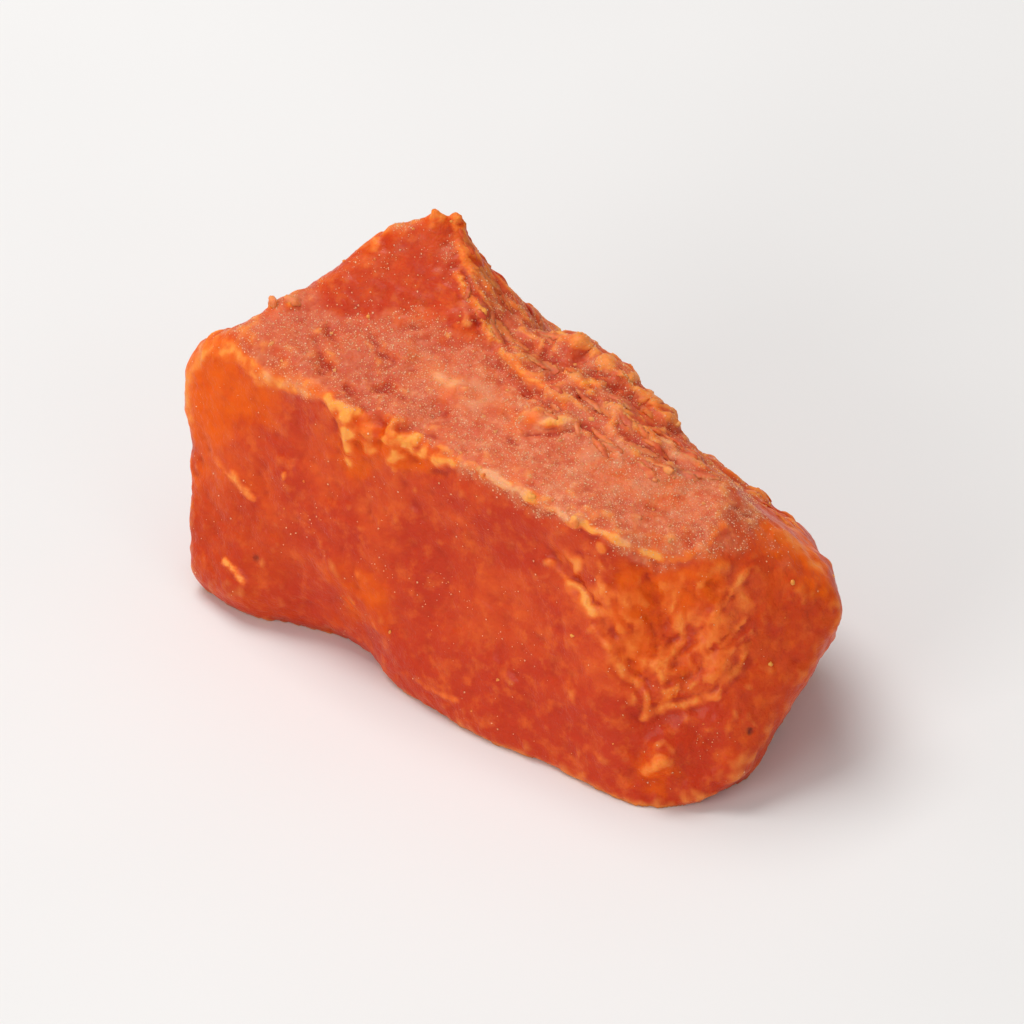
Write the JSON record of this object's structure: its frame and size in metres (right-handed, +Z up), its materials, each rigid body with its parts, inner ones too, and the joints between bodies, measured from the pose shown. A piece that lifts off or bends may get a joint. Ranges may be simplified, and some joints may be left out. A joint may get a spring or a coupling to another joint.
{
  "type": "dried papaya chunk",
  "caption": "Thick, unevenly cut chunk of dried, sugared papaya with a torn crest along its back edge, lying on a flat underside.",
  "frame": {"origin": "on the flat underside, below the middle of the chunk's box", "axes": "+Z up from the underside, X along the chunk's length, -Y towards the broad cut front face"},
  "size_m": [0.0288, 0.015, 0.0162],
  "materials": {
    "papaya_flesh": "orange-red dried fruit flesh, slightly translucent, satin, dusted with fine sugar on its upper faces"
  },
  "bodies": {
    "root": {"papaya_chunk": "papaya_flesh"}
  },
  "joints": []
}
